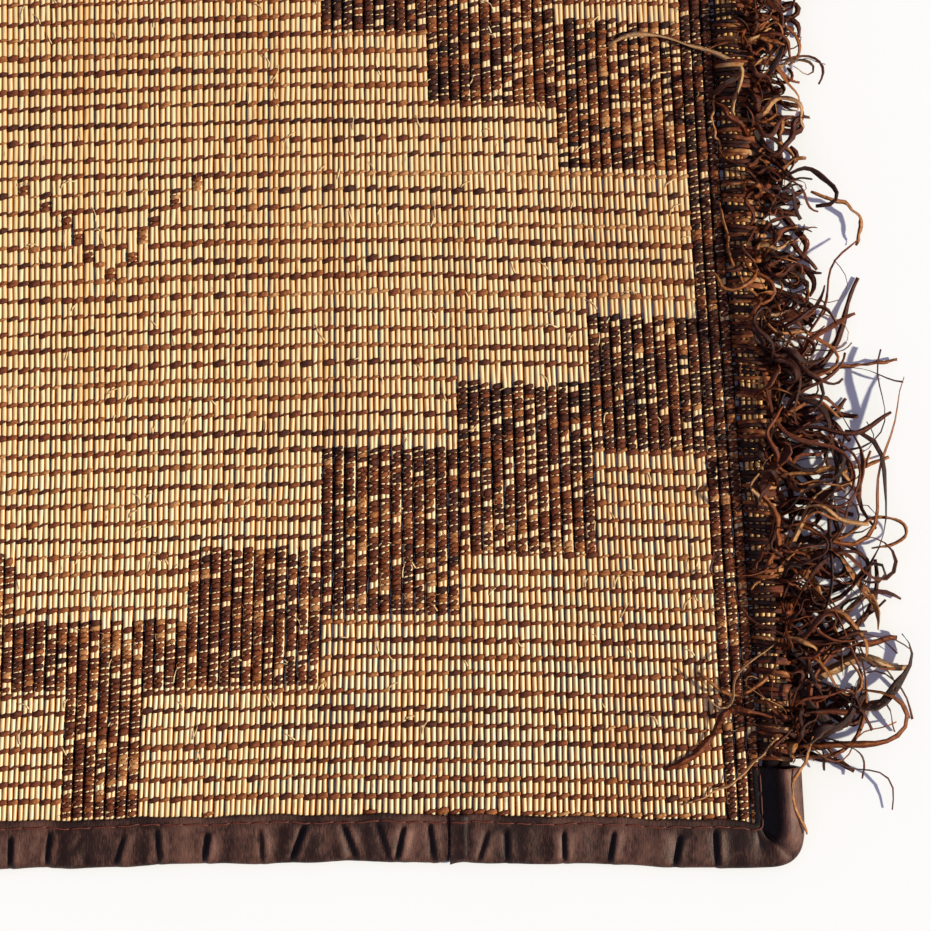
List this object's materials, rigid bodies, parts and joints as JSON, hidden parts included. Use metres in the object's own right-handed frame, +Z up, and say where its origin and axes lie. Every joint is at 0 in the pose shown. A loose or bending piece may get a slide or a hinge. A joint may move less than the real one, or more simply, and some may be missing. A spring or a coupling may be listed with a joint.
{
  "type": "tuareg mat",
  "caption": "Flat floor mat of split grass stalks twined with leather thongs, stepped wrapped pattern, leather-bound ends and thong fringe at both sides",
  "frame": {"origin": "on the floor, under the middle of the weave", "axes": "+X across the stalks towards the right-hand fringe, +Y along the stalks towards the upper binding, +Z up from the floor"},
  "size_m": [0.8096, 0.631, 0.0177],
  "materials": {
    "grass_weave": "split dry grass stalks, satin, straw to tan, twined with narrow red-brown leather thongs",
    "thong_leather": "narrow curled goat leather thongs, dry and matte, dark to orange brown",
    "binding_leather": "thin folded goat leather, dark brown, puckered, dull sheen"
  },
  "bodies": {
    "root": {"mat_field": "grass_weave", "fringe_right": "thong_leather", "fringe_left": "thong_leather", "binding_lower_left": "binding_leather", "binding_lower_right": "binding_leather", "binding_upper": "binding_leather"}
  },
  "joints": []
}
